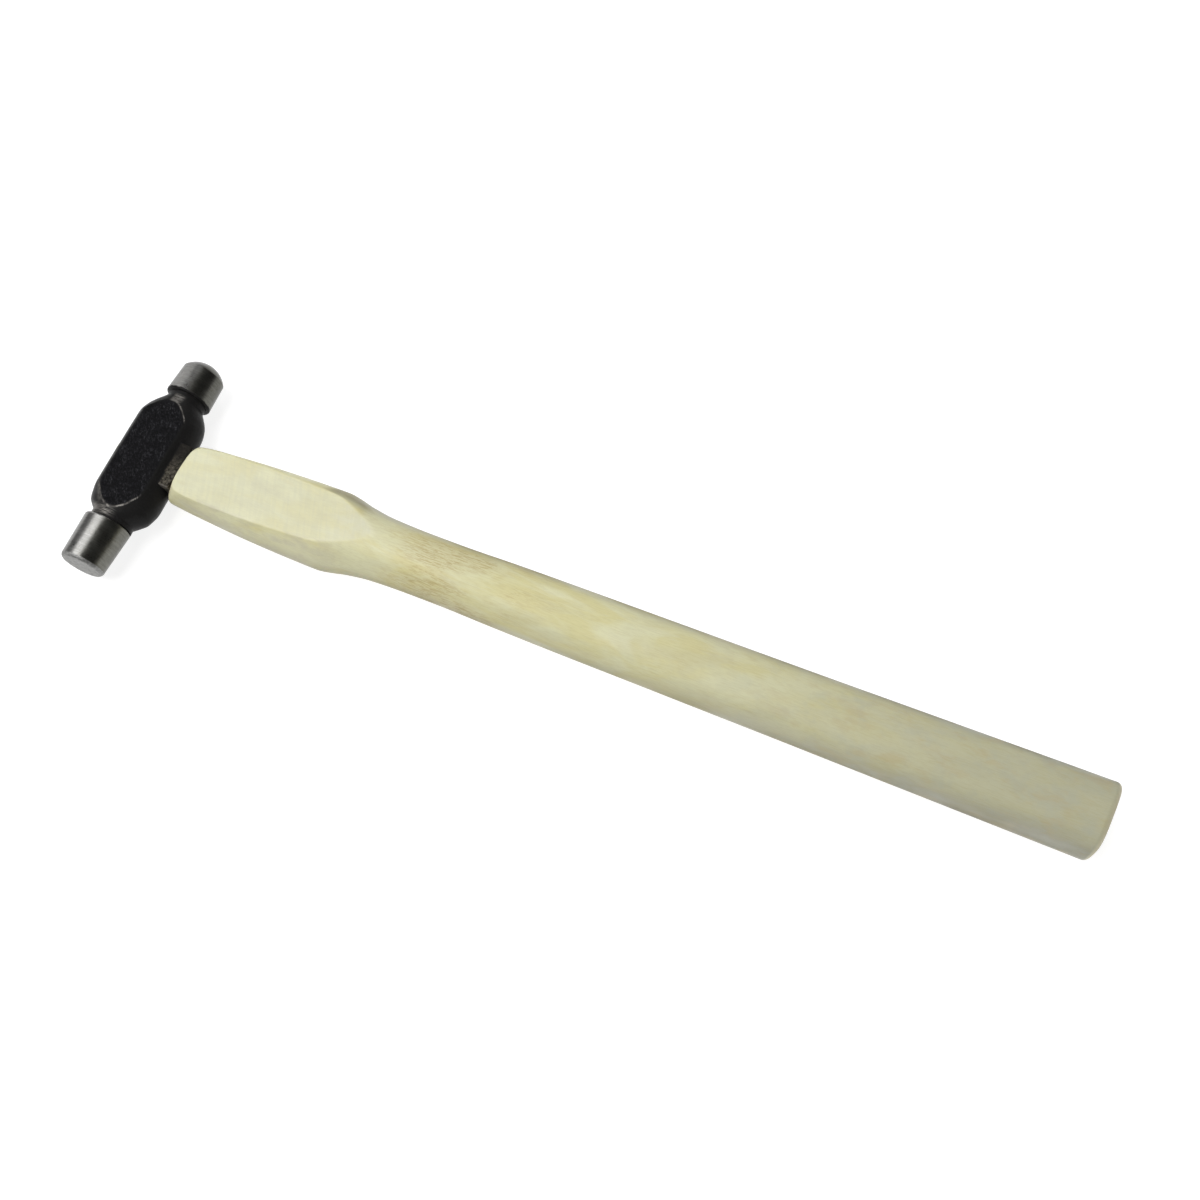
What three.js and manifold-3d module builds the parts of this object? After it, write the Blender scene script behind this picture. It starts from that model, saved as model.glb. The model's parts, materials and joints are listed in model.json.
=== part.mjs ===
// Ball peen hammer: a small forged steel head on a shaped wooden handle, held by two wedges.
//
// Millimetres. In the hammer's own frame the head axis (Y) crosses the handle axis (X) at the
// origin: +X runs along the handle to the butt, +Y points from the striking face to the ball,
// and the two flat cheeks of the head look along +Z and -Z. The finished group is then laid on
// its side, on the head's two round ends and the butt, with the origin on the bench below the
// middle of the hammer.

import * as THREE from 'three';
import { mergeVertices } from 'three/addons/utils/BufferGeometryUtils.js';
import Module from 'manifold-3d';

const wasm = await Module();
wasm.setup();

// ---- Driving dimensions -------------------------------------------------------------------

const FIT_GAP = 0.3;            // clearance kept between pieces that touch

const FACE_Y = 36.6;            // handle axis to the striking face
const FACE_FLAT_RADIUS = 5.2;   // flat middle of the striking face
const FACE_RADIUS = 6.3;        // outer edge of the striking face
const FACE_EDGE_Y = 35.15;      // where the rounded edge of the face begins
const FACE_BULGE = [5.85, 36.4];  // radius and place that the rounded edge bends towards
const ROOT_RADIUS = 6.8;        // thick end of both ground cylinders
const FACE_ROOT_Y = 22.2;       // where the face cylinder starts
const BALL_ROOT_Y = 22.9;       // where the ball cylinder starts
const ROOT_FILLET = [0.5, 0.9]; // rounding of the ball cylinder's thick end, across and along
const BALL_RADIUS = 6.4;        // thin end of the ball cylinder
const BALL_EDGE_Y = 31.8;       // where the dome starts
const BALL_DOME = 3.6;          // height of the dome
const NECK_RADIUS = 5.65;       // neck at the ball
const FACE_NECK_RADIUS = 6.0;   // neck at the face, as forged
const NECK_Y = 20.9;            // middle of each neck
const NECK_HALF_LENGTH = 0.3;   // half-length of its parallel part

const BARREL_WIDTH = 10.1;      // half-width of the eye section along X
const BARREL_DEPTH = 8.6;       // half-depth along Z before the cheeks are flattened
const BARREL_OFFSET = 0.3;      // the eye section sits this far towards the handle
const BARREL_LEAN = 0.028;      // and leans towards it by this much per millimetre, face end
const BARREL_STRAIGHT = 11.5;   // half-length of its straight middle
const BARREL_END = 20.7;        // half-length overall, inside the necks
// How far each shoulder is filled out, from 1 at the straight middle to 0 at the neck.
const FACE_WIDTH_FULL = [[11.5, 1], [14, 0.98], [16, 0.89], [17.5, 0.73], [19, 0.42], [20.7, 0]];
const BALL_WIDTH_FULL = [[11.5, 1], [14, 0.95], [16, 0.81], [17.5, 0.61], [19, 0.33], [20.7, 0]];
const DEPTH_FULL = [[12.8, 1], [13.6, 0.89], [15, 0.64], [17, 0.4], [18.2, 0.26], [20.7, 0]];
const CHEEK = 6.4;              // half-distance between the flat cheeks

const SEAT_X = 12.0;            // flat seat that the handle shoulder butts against
const SEAT_HALF_LENGTH = 7.2;   // along the head
const SEAT_ROOT_X = 4;          // inner end of the seat block, inside the barrel
const SEAT_ROOT = 5.1;          // half-thickness of the seat block there
const SEAT_TIP = 4.5;           // half-thickness at the seat

const EYE_LENGTH = 6.0;         // half-size of the oval eye along the head
const EYE_WIDTH = 3.4;          // half-size across the cheeks
const EYE_FLARE_LENGTH = 0.7;   // how much each half-size opens towards the crown
const EYE_FLARE_WIDTH = 0.6;
const EYE_FLARE_POWER = 1.5;    // how late the flare opens
const EYE_WAIST_X = 1;          // where the flare starts
const CROWN_X = -8.7;           // crown end of the handle, inside the mouth of the eye

const BUTT_X = 282.0;           // head axis to the middle of the butt end
const BUTT_ROUND = 1.2;         // rounding of the butt edge
const BUTT_SLOPE_Y = 0.11;      // the butt is cut slightly askew: rise along X per unit of Y
const BUTT_SLOPE_Z = -0.11;     // and per unit of Z
const BUTT_SLOPE_LENGTH = 16;   // the last rings lean into that cut over this length
const FLAT_AT_SHOULDER = 5.1;   // half-thickness between the sanded flats, at the shoulder
const FLAT_TAPER = 0.0565;      // rise of each flat per millimetre of length
const FLAT_END_X = 90;          // beyond where the flats run out of the oval

const WEDGE_DEPTH = 14;         // wooden wedge, crown to tip
const WEDGE_TOP = 1.2;          // half-thickness at the crown
const WEDGE_TIP = 0.45;
const CLEAT_DEPTH = 9;          // steel wedge, crown to tip
const CLEAT_TOP = 1.0;
const CLEAT_TIP = 0.3;
const CLEAT_PROUD = 0.3;        // how far it is left standing out of the crown end
const CLEAT_HALF_WIDTH = 2.4;   // half-size of the steel wedge across the cheeks

// Plan outline of the handle (seen on its flats) and its uncut side outline: [x, half-size].
const HANDLE_PLAN = [
  [12.3, 9.5], [24, 10.45], [38, 11.45], [52, 12.0], [60.5, 12.15], [64, 11.65], [69, 10.45],
  [76, 9.5], [86, 9.15], [97, 9.1], [114, 9.4], [136, 9.65], [175, 9.85], [222, 10.05], [281, 10.2],
];
const HANDLE_SIDE = [
  [12.3, 5.1], [13.2, 6.7], [15, 8.2], [18.5, 9.4], [24, 9.9], [58, 10.0], [66, 9.35],
  [75, 8.65], [90, 8.35], [120, 8.35], [200, 8.8], [281, 9.2],
];
// How square its section is: 2 is an ellipse, more fills out the corners.
const HANDLE_POWER = [[12.3, 2], [90, 2], [120, 2.15], [200, 2.5], [281, 3.0]];
const SHOULDER_RINGS = [0, 0.5, 1.2, 2.2, 3.6];  // close rings behind the shoulder
const NECK_RING_STEP = 2.6;     // spacing of the rings up to the end of the flats
const GRIP_RING_STEP = 11;      // and along the plain grip

const AROUND = 48;              // facets round every turned or oval piece
const DOME_RINGS = 8;
const SHOULDER_STEPS = 14;
const BUTT_RINGS = 4;
const PAST = 3;                 // how far a cutting solid reaches past the material

// ---- Helpers ------------------------------------------------------------------------------

/** Turn a closed three.js geometry into a solid that can be joined and cut. */
function solid(geometry) {
  const bare = geometry.clone();
  bare.deleteAttribute('normal');
  bare.deleteAttribute('uv');
  const merged = mergeVertices(bare, 1e-4);
  const index = merged.index.array;
  const triangles = [];
  for (let i = 0; i < index.length; i += 3) {
    const [a, b, c] = [index[i], index[i + 1], index[i + 2]];
    if (a !== b && b !== c && c !== a) triangles.push(a, b, c);
  }
  const mesh = new wasm.Mesh({
    numProp: 3,
    vertProperties: new Float32Array(merged.attributes.position.array),
    triVerts: new Uint32Array(triangles),
  });
  return new wasm.Manifold(mesh);
}

/** A named mesh from a solid, with its own material. */
function piece(name, body, color, roughness, metalness) {
  const result = body.getMesh();
  const geometry = new THREE.BufferGeometry();
  geometry.setAttribute('position', new THREE.BufferAttribute(result.vertProperties, 3));
  geometry.setIndex(new THREE.BufferAttribute(result.triVerts, 1));
  geometry.computeVertexNormals();
  const mesh = new THREE.Mesh(
    geometry,
    new THREE.MeshStandardMaterial({ color, roughness, metalness }),
  );
  mesh.name = name;
  return mesh;
}

/** Smooth curve through [x, half-size] knots, as a function of x. */
function outline(knots) {
  const points = knots.map(([x, half]) => new THREE.Vector3(x, half, 0));
  const samples = new THREE.CatmullRomCurve3(points, false, 'centripetal').getPoints(400);
  return (x) => {
    const next = samples.findIndex((p) => p.x >= x);
    if (next <= 0) return samples[next < 0 ? samples.length - 1 : 0].y;
    const [low, high] = [samples[next - 1], samples[next]];
    return THREE.MathUtils.mapLinear(x, low.x, high.x, low.y, high.y);
  };
}

/** Coordinate on a unit oval whose corners fill out as the power rises above 2. */
function ovalPoint(value, power) {
  return Math.sign(value) * Math.abs(value) ** (2 / power);
}

/**
 * Oval bar along Y from stations { at, x, z, shift, power }: its place, its half-sizes along X
 * and Z, how far its middle is moved along X, and how square the oval is (2 is an ellipse).
 * It starts as a turned bar through the x half-sizes and is then shaped ring by ring.
 */
function ovalBar(stations) {
  const [first, last] = [stations[0], stations[stations.length - 1]];
  const rings = [{ ...first, x: 0, z: 0 }, ...stations, { ...last, x: 0, z: 0 }];
  const profile = rings.map((ring) => new THREE.Vector2(ring.x, ring.at));
  const geometry = new THREE.LatheGeometry(profile, AROUND);
  const position = geometry.attributes.position;
  for (let i = 0; i < position.count; i += 1) {
    const ring = rings[i % rings.length];
    const radius = Math.max(ring.x, Number.EPSILON);
    position.setX(i, ring.shift + ring.x * ovalPoint(position.getX(i) / radius, ring.power));
    position.setZ(i, ring.z * ovalPoint(position.getZ(i) / radius, ring.power));
  }
  return geometry;
}

/** The same bar turned to run along X, the handle's direction. */
function ovalBarAlongX(stations) {
  const upright = stations.map(({ at, y, z, power = 2 }) => ({ at, x: y, z, shift: 0, power }));
  return ovalBar(upright).rotateZ(-Math.PI / 2);
}

/** Straight prism with an outline in the XZ plane, centred on the head axis. */
function prismAcross(points, halfLength) {
  const shape = new THREE.Shape(points.map(([x, z]) => new THREE.Vector2(x, z)));
  const geometry = new THREE.ExtrudeGeometry(shape, { depth: 2 * halfLength, bevelEnabled: false });
  return geometry.translate(0, 0, -halfLength).rotateX(Math.PI / 2);
}

/** Thin wedge from the crown end of the handle, grown all round by a clearance. */
function wedgeShape(top, tip, depth, clearance) {
  const start = CROWN_X - PAST;
  const end = CROWN_X + depth + clearance;
  return [
    [start, -top - clearance], [end, -tip - clearance],
    [end, tip + clearance], [start, top + clearance],
  ];
}

// ---- Head ---------------------------------------------------------------------------------

/** Turned spindle of the head: striking face, its cylinder, both necks, the ball end. */
function headSpindle() {
  const [filletAcross, filletAlong] = ROOT_FILLET;
  const neckStart = NECK_Y - NECK_HALF_LENGTH;
  const neckEnd = NECK_Y + NECK_HALF_LENGTH;
  const side = new THREE.Path();
  side.moveTo(0, -FACE_Y);
  side.lineTo(FACE_FLAT_RADIUS, -FACE_Y);
  side.quadraticCurveTo(FACE_BULGE[0], -FACE_BULGE[1], FACE_RADIUS, -FACE_EDGE_Y);
  side.lineTo(ROOT_RADIUS, -FACE_ROOT_Y);
  side.quadraticCurveTo(NECK_RADIUS, -FACE_ROOT_Y, NECK_RADIUS, -neckStart);
  side.lineTo(NECK_RADIUS, neckStart);
  side.quadraticCurveTo(NECK_RADIUS, neckEnd, ROOT_RADIUS - filletAcross, BALL_ROOT_Y - filletAlong);
  side.quadraticCurveTo(ROOT_RADIUS, BALL_ROOT_Y - filletAcross, ROOT_RADIUS, BALL_ROOT_Y);
  side.lineTo(BALL_RADIUS, BALL_EDGE_Y);
  const profile = side.getPoints(4);
  const sphere = (BALL_RADIUS ** 2 + BALL_DOME ** 2) / (2 * BALL_DOME);
  const centre = BALL_EDGE_Y + BALL_DOME - sphere;
  const edgeAngle = Math.asin(BALL_RADIUS / sphere);
  for (let i = DOME_RINGS - 1; i >= 0; i -= 1) {
    const angle = (edgeAngle * i) / DOME_RINGS;
    profile.push(new THREE.Vector2(sphere * Math.sin(angle), centre + sphere * Math.cos(angle)));
  }
  return new THREE.LatheGeometry(profile, AROUND);
}

/** Rings of one shoulder, from its neck to the straight middle; side is -1 for the face. */
function shoulderRings(side, widthKnots, neckRadius) {
  const widthFull = outline(widthKnots);
  const depthFull = outline(DEPTH_FULL);
  const rings = [];
  for (let i = 0; i <= SHOULDER_STEPS; i += 1) {
    const out = THREE.MathUtils.lerp(BARREL_END, BARREL_STRAIGHT, i / SHOULDER_STEPS);
    const full = widthFull(out);
    rings.push({
      at: side * out,
      x: THREE.MathUtils.lerp(neckRadius, BARREL_WIDTH, full),
      z: THREE.MathUtils.lerp(neckRadius, BARREL_DEPTH, depthFull(out)),
      shift: BARREL_OFFSET * full - BARREL_LEAN * side * out * (side < 0 ? 1 : full),
      power: 2,
    });
  }
  return rings;
}

/** Barrel round the eye: an oval that narrows at both ends to the round necks. */
function eyeBarrel() {
  const faceSide = shoulderRings(-1, FACE_WIDTH_FULL, FACE_NECK_RADIUS);
  const ballSide = shoulderRings(1, BALL_WIDTH_FULL, NECK_RADIUS).reverse();
  const inFaceRoot = { ...faceSide[0], at: -FACE_ROOT_Y - FIT_GAP };
  return ovalBar([inFaceRoot, ...faceSide, ...ballSide]);
}

/** Seat block that stands out of the barrel round the mouth of the eye. */
function seatBlock() {
  return prismAcross([
    [SEAT_ROOT_X, -SEAT_ROOT], [SEAT_X, -SEAT_TIP], [SEAT_X, SEAT_TIP], [SEAT_ROOT_X, SEAT_ROOT],
  ], SEAT_HALF_LENGTH);
}

/** Oval passage of the eye, or the tenon in it when shrunk by the fit gap. */
function eyeBar(startX, endX, shrink) {
  const stations = [startX, (startX + EYE_WAIST_X) / 2, EYE_WAIST_X, endX].map((at) => {
    const flare = Math.max(0, (EYE_WAIST_X - at) / (EYE_WAIST_X - CROWN_X)) ** EYE_FLARE_POWER;
    return {
      at,
      y: EYE_LENGTH + EYE_FLARE_LENGTH * flare - shrink,
      z: EYE_WIDTH + EYE_FLARE_WIDTH * flare - shrink,
    };
  });
  return ovalBarAlongX(stations);
}

function hammerHead() {
  const slab = new THREE.BoxGeometry(4 * BARREL_WIDTH, 4 * NECK_Y, 2 * CHEEK);
  const body = solid(eyeBarrel()).intersect(solid(slab)).add(solid(seatBlock()));
  return body.add(solid(headSpindle())).subtract(solid(eyeBar(CROWN_X - PAST, SEAT_X + PAST, 0)));
}

// ---- Handle and wedges --------------------------------------------------------------------

/** Shaped handle outside the head, before its two sides are sanded flat. */
function handleBlank() {
  const plan = outline(HANDLE_PLAN);
  const side = outline(HANDLE_SIDE);
  const power = outline(HANDLE_POWER);
  const shoulderX = SEAT_X + FIT_GAP;
  const places = SHOULDER_RINGS.map((behind) => shoulderX + behind);
  const last = () => places[places.length - 1];
  while (last() < FLAT_END_X) places.push(last() + NECK_RING_STEP);
  while (last() < BUTT_X - BUTT_SLOPE_LENGTH) places.push(last() + GRIP_RING_STEP);
  const stations = places.map((at) => ({ at, y: plan(at), z: side(at), power: power(at) }));
  for (let i = 0; i <= BUTT_RINGS; i += 1) {
    const angle = (i / BUTT_RINGS) * (Math.PI / 2);
    const at = BUTT_X - BUTT_ROUND * (1 - Math.sin(angle));
    const inset = BUTT_ROUND * (1 - Math.cos(angle));
    stations.push({ at, y: plan(at) - inset, z: side(at) - inset, power: power(at) });
  }
  return skewButt(ovalBarAlongX(stations));
}

/** Lean the last rings of the handle so that its end is cut slightly askew. */
function skewButt(geometry) {
  const start = BUTT_X - BUTT_SLOPE_LENGTH;
  const end = BUTT_X - BUTT_ROUND;
  const position = geometry.attributes.position;
  for (let i = 0; i < position.count; i += 1) {
    const x = position.getX(i);
    const lean = THREE.MathUtils.clamp((x - start) / (end - start), 0, 1);
    const askew = BUTT_SLOPE_Y * position.getY(i) + BUTT_SLOPE_Z * position.getZ(i);
    position.setX(i, x + lean * askew);
  }
  return geometry;
}

/** Wedge-shaped space between the two sanded flats of the neck. */
function flatsEnvelope() {
  const start = SEAT_X - PAST;
  const atStart = FLAT_AT_SHOULDER - FLAT_TAPER * (SEAT_X - start);
  const atEnd = FLAT_AT_SHOULDER + FLAT_TAPER * (FLAT_END_X - SEAT_X);
  const beyond = 2 * BARREL_WIDTH;
  return prismAcross([
    [start, -atStart], [FLAT_END_X, -atEnd], [FLAT_END_X, -beyond], [BUTT_X + PAST, -beyond],
    [BUTT_X + PAST, beyond], [FLAT_END_X, beyond], [FLAT_END_X, atEnd], [start, atStart],
  ], 2 * beyond);
}

function woodWedgePrism(clearance) {
  const shape = wedgeShape(WEDGE_TOP, WEDGE_TIP, WEDGE_DEPTH, clearance);
  return solid(prismAcross(shape, 2 * EYE_LENGTH));
}

function steelWedgePrism(clearance) {
  const shape = wedgeShape(CLEAT_TOP, CLEAT_TIP, CLEAT_DEPTH, clearance);
  const prism = prismAcross(shape, CLEAT_HALF_WIDTH + clearance);
  return solid(prism.rotateX(Math.PI / 2));
}

/** Everything on the butt side of a plane across the handle. */
function buttSide(planeX) {
  const across = 4 * BARREL_WIDTH;
  return solid(new THREE.BoxGeometry(BUTT_X, across, across).translate(planeX + BUTT_X / 2, 0, 0));
}

function handleBody() {
  const grip = solid(handleBlank()).intersect(solid(flatsEnvelope()));
  const tenon = solid(eyeBar(CROWN_X, SEAT_X + PAST, FIT_GAP));
  return grip.add(tenon).subtract(woodWedgePrism(FIT_GAP)).subtract(steelWedgePrism(FIT_GAP));
}

function woodWedge() {
  const inEye = solid(eyeBar(CROWN_X, SEAT_X, FIT_GAP));
  return woodWedgePrism(0).intersect(inEye).subtract(steelWedgePrism(FIT_GAP));
}

function steelWedge() {
  return steelWedgePrism(0).intersect(buttSide(CROWN_X - CLEAT_PROUD));
}

// ---- Assembly -----------------------------------------------------------------------------

const hammer = new THREE.Group();
hammer.add(
  piece('hammer_head', hammerHead(), 0x17171a, 0.45, 0.6),
  piece('handle', handleBody(), 0xd9d3a8, 0.6, 0),
  piece('wood_wedge', woodWedge(), 0xc9b98a, 0.7, 0),
  piece('steel_wedge', steelWedge(), 0x8a8a88, 0.4, 0.9),
);

// The butt is thicker than the head's round ends, so the handle rises slightly towards it.
const buttHalf = HANDLE_SIDE[HANDLE_SIDE.length - 1][1];
hammer.rotation.y = -Math.asin((buttHalf - ROOT_RADIUS) / (BUTT_X - BUTT_ROUND));
hammer.updateMatrixWorld(true);

const box = new THREE.Box3().setFromObject(hammer, true);
const centre = box.getCenter(new THREE.Vector3());
hammer.position.set(-centre.x, -centre.y, -box.min.z);

export default hammer;
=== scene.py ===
"""Ball peen hammer lying on a pale floor, seen from above and in front of its striking face.

Shapes are worked out in millimetres in the hammer's own frame: +X from the head along the
handle to the butt, +Y from the striking face to the ball, +Z out of the upper cheek, with the
origin where the two axes cross. hammer_to_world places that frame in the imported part's frame.
"""
import json
import math

import bmesh
import bpy
import numpy as np
from mathutils import Matrix, Vector, noise


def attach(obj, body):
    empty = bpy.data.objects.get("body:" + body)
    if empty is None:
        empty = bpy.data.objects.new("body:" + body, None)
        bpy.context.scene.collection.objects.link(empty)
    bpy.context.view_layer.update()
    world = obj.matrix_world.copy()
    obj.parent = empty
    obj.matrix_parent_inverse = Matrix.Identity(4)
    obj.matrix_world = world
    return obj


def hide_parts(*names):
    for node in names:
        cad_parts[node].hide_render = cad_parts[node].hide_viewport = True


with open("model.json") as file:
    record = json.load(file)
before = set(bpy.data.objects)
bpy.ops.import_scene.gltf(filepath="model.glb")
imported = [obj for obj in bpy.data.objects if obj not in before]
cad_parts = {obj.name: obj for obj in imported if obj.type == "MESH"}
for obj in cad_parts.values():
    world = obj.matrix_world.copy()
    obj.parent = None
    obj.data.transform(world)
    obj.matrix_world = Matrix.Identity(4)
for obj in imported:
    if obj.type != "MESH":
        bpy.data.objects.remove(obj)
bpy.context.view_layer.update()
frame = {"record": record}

MM = 0.001

# ---- Driving sizes, mm ---------------------------------------------------------------------

FACE_Y = 36.6               # handle axis to the striking face
FACE_FLAT_RADIUS = 5.55
FACE_RADIUS = 6.3
FACE_EDGE_Y = 35.6
FACE_BULGE = (6.1, 36.35)   # radius and place that the rounded edge bends towards
ROOT_RADIUS = 6.8
FACE_ROOT_Y = 22.2
BALL_ROOT_Y = 22.9
BALL_RADIUS = 6.4
BALL_EDGE_Y = 31.8
BALL_DOME = 3.6
NECK_RADIUS = 5.65
FACE_NECK_RADIUS = 6.0
NECK_Y = 20.9
ROOT_ROUND = 0.7            # rounding where each ground cylinder starts

BARREL_WIDTH = 10.1         # half-sizes of the oval forging round the eye
BARREL_DEPTH = 8.6
BARREL_OFFSET = 0.3         # the forging sits a little off the turned ends' axis and leans
BARREL_LEAN = 0.028
FACE_SIDE_LEAN = 0.042
BARREL_CORNER = 0.5         # roundings where the forging meets its seat block and the necks
NECK_CORNER = 0.4
# How full the forging is along the head: (distance from the handle's axis, share)
FACE_WIDTH_FULL = [(11.5, 1), (14, 0.98), (16, 0.89), (17.5, 0.78), (19, 0.46), (20.7, 0)]
BALL_WIDTH_FULL = [(11.5, 1), (14, 0.95), (16, 0.81), (17.5, 0.61), (19, 0.33), (20.7, 0)]
DEPTH_FULL = [(12.8, 1), (13.6, 0.89), (15, 0.64), (17, 0.4), (18.2, 0.26), (20.7, 0)]
CHEEK = 6.4                 # head's axis to each flat cheek
CHEEK_SIDE_ROUND = 0.55     # rounding of a cheek's border, along its sides and at its ends
CHEEK_END_ROUND = 0.20
CHEEK_ENDS = (11.5, 14.0)

SEAT_X = 12.0               # face of the seat block that the handle's shoulder meets
SEAT_HALF_LENGTH = 7.2
SEAT_ROOT_X = 4.0
SEAT_ROOT = 5.1             # half-thickness of the block at its root and at its tip
SEAT_TIP = 4.5
SEAT_CORNER = 0.35
SEAT_END_DROP = 8.0         # how far the block sinks away past its two ends

EYE_LENGTH = 6.0            # half-sizes of the eye at its waist, and what the flare adds
EYE_WIDTH = 3.4
EYE_FLARE_LENGTH = 0.7
EYE_FLARE_WIDTH = 0.6
EYE_FLARE_POWER = 1.5
EYE_WAIST_X = 1.0
EYE_CHAMFER = 0.35
CROWN_X = -8.7              # end of the tenon

SHOULDER_X = 12.3           # front end of the handle outside the head
BUTT_ROUND = 1.9
BUTT_SLOPE_Y = 0.11         # the butt is cut slightly askew
BUTT_SLOPE_Z = -0.11
BUTT_SLOPE_LENGTH = 16.0
FLAT_AT_SHOULDER = 5.1      # half-thickness between the two sanded flats
FLAT_TAPER = 0.0565
FLAT_END_X = 90.0
FLAT_EDGE = 0.22            # rounding of the flats' borders
SHOULDER_EDGE = 0.25
SHOULDER_EDGE_LENGTH = 0.45
# Outline of the handle: (place, half-width along the head), then (place, half-thickness)
HANDLE_PLAN = [
    (12.3, 9.5), (24, 10.45), (38, 11.45), (52, 12.0), (60.5, 12.15), (64, 11.65), (69, 10.45),
    (76, 9.5), (86, 9.15), (97, 9.1), (114, 9.4), (136, 9.65), (175, 9.85), (222, 10.05),
    (282, 10.2),
]
HANDLE_SIDE = [
    (12.3, 5.1), (13.2, 6.7), (15, 8.2), (18.5, 9.4), (24, 9.9), (58, 10.0), (66, 9.35),
    (75, 8.65), (90, 8.35), (120, 8.35), (200, 8.8), (282, 9.2),
]
# Squareness of its section: (place, power), where 2 is an ellipse
HANDLE_POWER = [(12.3, 2), (90, 2), (120, 2.15), (200, 2.5), (282, 3.5)]

# Half-thickness of each wedge at its two ends, and how deep it goes in
WOOD_WEDGE = {"top": 1.2, "tip": 0.45, "depth": 14.0}
STEEL_WEDGE = {"top": 1.0, "tip": 0.3, "depth": 9.0, "half_width": 2.4, "proud": 0.3}
SEAM = 0.05                 # visible joint between pieces that fit tightly
KERF_OVERSHOOT = 3.0        # how far a cutting tool stands out past the crown
WOOD_WEDGE_BEVEL = 0.06
STEEL_WEDGE_BEVEL = 0.12

HEAD_AROUND = 232           # points round a section
HANDLE_AROUND = 224
WELD_DISTANCE = 0.001
HEAD_SHARP_DEGREES = 24     # faces that meet at more than this keep a sharp edge
SHARP_DEGREES = 32
TINY = 1e-6                 # keeps divisions away from zero

# Widths of the worn lines on the head and of the flats' borders
EDGE_WEAR = 0.10
SEAT_END_WEAR = 0.28
CRESCENT_WEAR = 0.7
CREASE = 0.08

# Unevenness of the surfaces: depth in mm, size of the lumps in mm, and seed
FORGED_BROAD = (0.035, 3.2, 1)
FORGED_FINE = (0.018, 0.8, 2)
FORGED_SINK = 0.012
SEAT_ROUGHNESS = 0.05
CARVED = (0.05, 4.0, 3)
CARVED_SINK = 0.03
CARVED_STRETCH = 0.12       # the carving's lumps are long along the handle

# ---- Studio sizes, m -----------------------------------------------------------------------

FLOOR_HALF = 4.0
FLOOR_GLOW = 0.84
BACKDROP_AROUND = 64
BACKDROP_RADIUS = 3.9
BACKDROP_HEIGHT = 4.0
BACKDROP_GLOW = 0.75
ROOM_GLOW = 0.07
LENS = 36                   # mm, and the sensor's width in mm
SENSOR = 36
CAMERA_AT = (189.7, -115.94, 303.64)    # hammer's frame, mm
CAMERA_LOOKS_AT = (138.6, 8.9, 0)


# ---- The hammer's frame --------------------------------------------------------------------

def hammer_to_world():
    """Matrix that places the hammer's frame, in metres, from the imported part's two mounts."""
    places = {m["name"]: Vector(m["pos_m"]) for m in frame["record"]["mounts"]}
    origin = places["striking_face"] + Vector((0, FACE_Y * MM, 0))
    along = places["butt_end"] - origin
    tilt = math.atan2(along.z, along.x)
    return Matrix.Translation(origin) @ Matrix.Rotation(-tilt, 4, "Y"), along.length / MM


TO_WORLD, BUTT_X = hammer_to_world()


# ---- Curves and radial shapes --------------------------------------------------------------

def smooth_curve(knots):
    """Smooth function through (place, value) knots that never overshoots them."""
    x, v = np.array(knots, float).T
    step = np.diff(x)
    slope = np.diff(v) / step
    tangent = np.concatenate([slope[:1], np.zeros(len(x) - 2), slope[-1:]])
    same_way = slope[:-1] * slope[1:] > 0
    tangent[1:-1][same_way] = 2 / (1 / slope[:-1][same_way] + 1 / slope[1:][same_way])

    def value(at):
        at = np.clip(at, x[0], x[-1])
        i = np.clip(np.searchsorted(x, at, side="right") - 1, 0, len(step) - 1)
        t = (at - x[i]) / step[i]
        left = v[i] * (1 + 2 * t) * (1 - t) ** 2 + tangent[i] * step[i] * t * (1 - t) ** 2
        right = v[i + 1] * t * t * (3 - 2 * t) - tangent[i + 1] * step[i] * t * t * (1 - t)
        return left + right

    return value


def soft_min(a, b, size):
    """Smaller of a and b, with the corner between them rounded over size."""
    h = np.maximum(size - np.abs(a - b), 0) / size
    return np.minimum(a, b) - h * h * size / 4


def soft_max(a, b, size):
    """Larger of a and b, with the corner between them rounded over size."""
    return -soft_min(-a, -b, size)


def ease(low, high, x):
    """Smooth step from 0 at low to 1 at high, which may be below low."""
    t = np.clip((x - low) / (high - low), 0, 1)
    return t * t * (3 - 2 * t)


face_width_full = smooth_curve(FACE_WIDTH_FULL)
ball_width_full = smooth_curve(BALL_WIDTH_FULL)
depth_full = smooth_curve(DEPTH_FULL)
handle_plan = smooth_curve(HANDLE_PLAN)
handle_side = smooth_curve(HANDLE_SIDE)
handle_power = smooth_curve(HANDLE_POWER)


def barrel_radius(cos, sin, y):
    """Distance from the head axis to the oval barrel, before the cheeks are cut."""
    out = np.abs(y)
    face_side = y < 0
    full = np.where(face_side, face_width_full(out), ball_width_full(out))
    neck = np.where(face_side, FACE_NECK_RADIUS, NECK_RADIUS)
    half_x = neck + (BARREL_WIDTH - neck) * full
    half_z = neck + (BARREL_DEPTH - neck) * depth_full(out)
    shift = BARREL_OFFSET * full - y * np.where(face_side, FACE_SIDE_LEAN, BARREL_LEAN * full)
    a = np.maximum((cos / half_x) ** 2 + (sin / half_z) ** 2, TINY)
    b = cos * shift / half_x ** 2
    c = (shift / half_x) ** 2 - 1
    return (b + np.sqrt(np.maximum(b * b - a * c, 0))) / a


def cheek_radius(sin):
    """Distance from the head axis to the planes of the two flat cheeks."""
    return CHEEK / np.maximum(np.abs(sin), TINY)


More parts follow.
